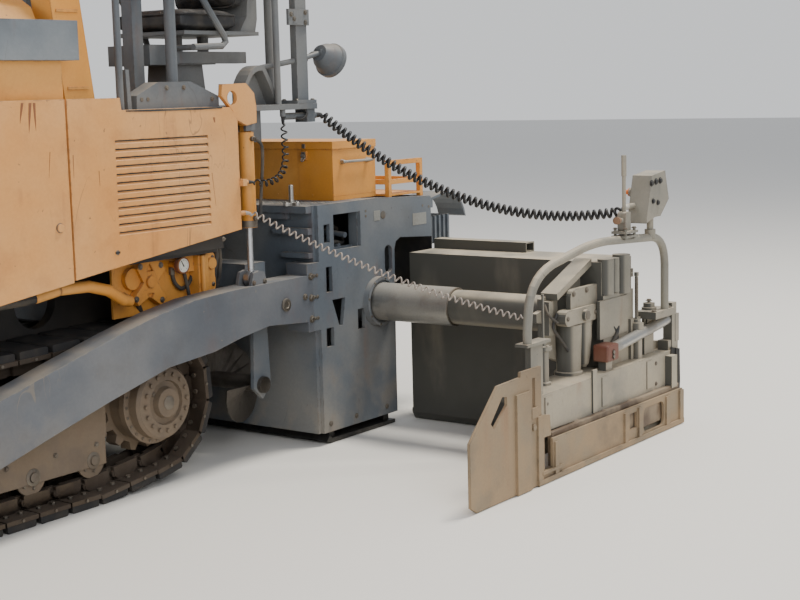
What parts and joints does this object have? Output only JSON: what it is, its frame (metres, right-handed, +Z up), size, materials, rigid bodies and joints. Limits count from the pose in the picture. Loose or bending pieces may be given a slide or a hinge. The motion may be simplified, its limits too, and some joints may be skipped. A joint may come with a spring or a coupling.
{
  "type": "asphalt paver",
  "caption": "Tracked asphalt paver with a folding hopper, two seats under a canopy and a lifting screed with two pull-out extensions.",
  "frame": {"origin": "on the ground under the middle of the machine's length and width", "axes": "+X forward to the push rollers, +Y to the machine's left, +Z up"},
  "size_m": [6, 5, 3.69],
  "materials": {
    "orange_paint": "faded semi-gloss",
    "grey_paint": "satin, scratched",
    "dark_paint": "satin, dusty",
    "dusty_steel": "matt with dust",
    "bright_steel": "worn bright",
    "worn_iron": "rough, dusty",
    "black_rubber": "matt",
    "seat_cover": "matt grained cover"
  },
  "bodies": {
    "tractor": {"main_frame": "dark_paint", "engine_block": "dark_paint", "side_machinery": "orange_paint", "bonnet": "orange_paint", "side_guards": "grey_paint", "rear_panels": "orange_paint", "platform": "dark_paint", "console": "dark_paint", "seats": "dark_paint", "seat_cushions": "seat_cover", "canopy_posts": "dark_paint", "canopy_roof": "orange_paint", "handrails": "dusty_steel", "track_left": "worn_iron", "track_right": "worn_iron", "track_frames": "dusty_steel", "track_rollers": "worn_iron", "drive_sprockets": "worn_iron", "hopper_tub": "grey_paint", "conveyor": "worn_iron", "auger_carrier": "grey_paint", "panel_cord": "black_rubber"},
    "side_door_left": {"side_door_left": "orange_paint"},
    "side_door_right": {"side_door_right": "orange_paint"},
    "hopper_wing_left": {"hopper_wing_left": "grey_paint"},
    "hopper_wing_right": {"hopper_wing_right": "grey_paint"},
    "push_beam": {"push_beam": "grey_paint"},
    "push_roller_left": {"push_roller_left": "bright_steel"},
    "push_roller_right": {"push_roller_right": "bright_steel"},
    "auger_left": {"auger_left": "bright_steel"},
    "auger_right": {"auger_right": "bright_steel"},
    "screed": {"tow_arms": "grey_paint", "screed_frame": "grey_paint", "screed_plate": "bright_steel", "tool_box": "orange_paint", "handset_cord": "black_rubber", "control_cord": "black_rubber"},
    "tool_lid": {"tool_lid": "orange_paint"},
    "lift_barrel_left": {"lift_barrel_left": "orange_paint"},
    "lift_barrel_right": {"lift_barrel_right": "orange_paint"},
    "lift_rod_left": {"lift_rod_left": "bright_steel"},
    "lift_rod_right": {"lift_rod_right": "bright_steel"},
    "guide_mid_left": {"guide_mid_left": "bright_steel"},
    "guide_mid_right": {"guide_mid_right": "bright_steel"},
    "extension_left": {"extension_left": "dusty_steel", "hoop_rail_left": "dusty_steel", "handset": "grey_paint"},
    "extension_right": {"extension_right": "dusty_steel", "hoop_rail_right": "dusty_steel"},
    "end_gate_left": {"end_gate_left": "dusty_steel"},
    "end_gate_right": {"end_gate_right": "dusty_steel"}
  },
  "joints": [
    {"name": "side_door_left_hinge", "type": "hinge", "parent": "tractor", "child": "side_door_left", "pos_m": [1.062, 1.232, 1.2], "axis": [0, 0, -1], "range_deg": [0, 90]},
    {"name": "hopper_wing_left_fold", "type": "hinge", "parent": "tractor", "child": "hopper_wing_left", "pos_m": [1.9, 0.775, 0.745], "axis": [1, 0, 0], "range_deg": [0, 60]},
    {"name": "push_roller_left_spin", "type": "hinge", "parent": "push_beam", "child": "push_roller_left", "pos_m": [2.915, 0.365, 0.5], "axis": [0, 1, 0], "continuous": true},
    {"name": "auger_left_spin", "type": "hinge", "parent": "tractor", "child": "auger_left", "pos_m": [-1.39, 0.56, 0.33], "axis": [0, 1, 0], "continuous": true},
    {"name": "lift_barrel_left_swing", "type": "hinge", "parent": "tractor", "child": "lift_barrel_left", "pos_m": [-1.24, 1.19, 1.55], "axis": [0, -1, 0], "range_deg": [0, 4.4]},
    {"name": "lift_rod_left_slide", "type": "slide", "parent": "lift_barrel_left", "child": "lift_rod_left", "axis": [0, 0, 1], "range_m": [0, 0.182]},
    {"name": "extension_left_slide", "type": "slide", "parent": "screed", "child": "extension_left", "axis": [0, 1, 0], "range_m": [-0.93, 0], "deforming": ["handset_cord", "control_cord"]},
    {"name": "guide_mid_left_slide", "type": "slide", "parent": "screed", "child": "guide_mid_left", "axis": [0, 1, 0], "range_m": [-0.47, 0]},
    {"name": "end_gate_left_lift", "type": "slide", "parent": "extension_left", "child": "end_gate_left", "axis": [0, 0, 1], "range_m": [0, 0.1]},
    {"name": "side_door_right_hinge", "type": "hinge", "parent": "tractor", "child": "side_door_right", "pos_m": [1.062, -1.232, 1.2], "axis": [0, 0, 1], "range_deg": [0, 90]},
    {"name": "hopper_wing_right_fold", "type": "hinge", "parent": "tractor", "child": "hopper_wing_right", "pos_m": [1.9, -0.775, 0.745], "axis": [-1, 0, 0], "range_deg": [0, 60]},
    {"name": "push_roller_right_spin", "type": "hinge", "parent": "push_beam", "child": "push_roller_right", "pos_m": [2.915, -0.365, 0.5], "axis": [0, 1, 0], "continuous": true},
    {"name": "auger_right_spin", "type": "hinge", "parent": "tractor", "child": "auger_right", "pos_m": [-1.39, -0.56, 0.33], "axis": [0, 1, 0], "continuous": true},
    {"name": "lift_barrel_right_swing", "type": "hinge", "parent": "tractor", "child": "lift_barrel_right", "pos_m": [-1.24, -1.19, 1.55], "axis": [0, -1, 0], "range_deg": [0, 4.4]},
    {"name": "lift_rod_right_slide", "type": "slide", "parent": "lift_barrel_right", "child": "lift_rod_right", "axis": [0, 0, 1], "range_m": [0, 0.182]},
    {"name": "extension_right_slide", "type": "slide", "parent": "screed", "child": "extension_right", "axis": [0, -1, 0], "range_m": [-0.93, 0]},
    {"name": "guide_mid_right_slide", "type": "slide", "parent": "screed", "child": "guide_mid_right", "axis": [0, -1, 0], "range_m": [-0.47, 0]},
    {"name": "end_gate_right_lift", "type": "slide", "parent": "extension_right", "child": "end_gate_right", "axis": [0, 0, 1], "range_m": [0, 0.1]},
    {"name": "push_beam_swing", "type": "hinge", "parent": "tractor", "child": "push_beam", "pos_m": [2.7, 0, 0.5], "axis": [0, 0, 1], "range_deg": [-4, 4]},
    {"name": "screed_lift", "type": "hinge", "parent": "tractor", "child": "screed", "pos_m": [1.35, 0, 0.34], "axis": [0, 1, 0], "range_deg": [0, 4], "deforming": ["handset_cord", "control_cord"]},
    {"name": "tool_lid_hinge", "type": "hinge", "parent": "screed", "child": "tool_lid", "pos_m": [-2.254, 0.785, 1.396], "axis": [0, -1, 0], "range_deg": [0, 100]}
  ],
  "couplings": [
    {"joint": "lift_barrel_left_swing", "follows": "screed_lift", "ratio": 1.06},
    {"joint": "lift_rod_left_slide", "follows": "screed_lift", "m_per_rad": 2.547},
    {"joint": "guide_mid_left_slide", "follows": "extension_left_slide", "ratio": 0.5},
    {"joint": "lift_barrel_right_swing", "follows": "screed_lift", "ratio": 1.06},
    {"joint": "lift_rod_right_slide", "follows": "screed_lift", "m_per_rad": 2.547},
    {"joint": "guide_mid_right_slide", "follows": "extension_right_slide", "ratio": 0.5}
  ]
}
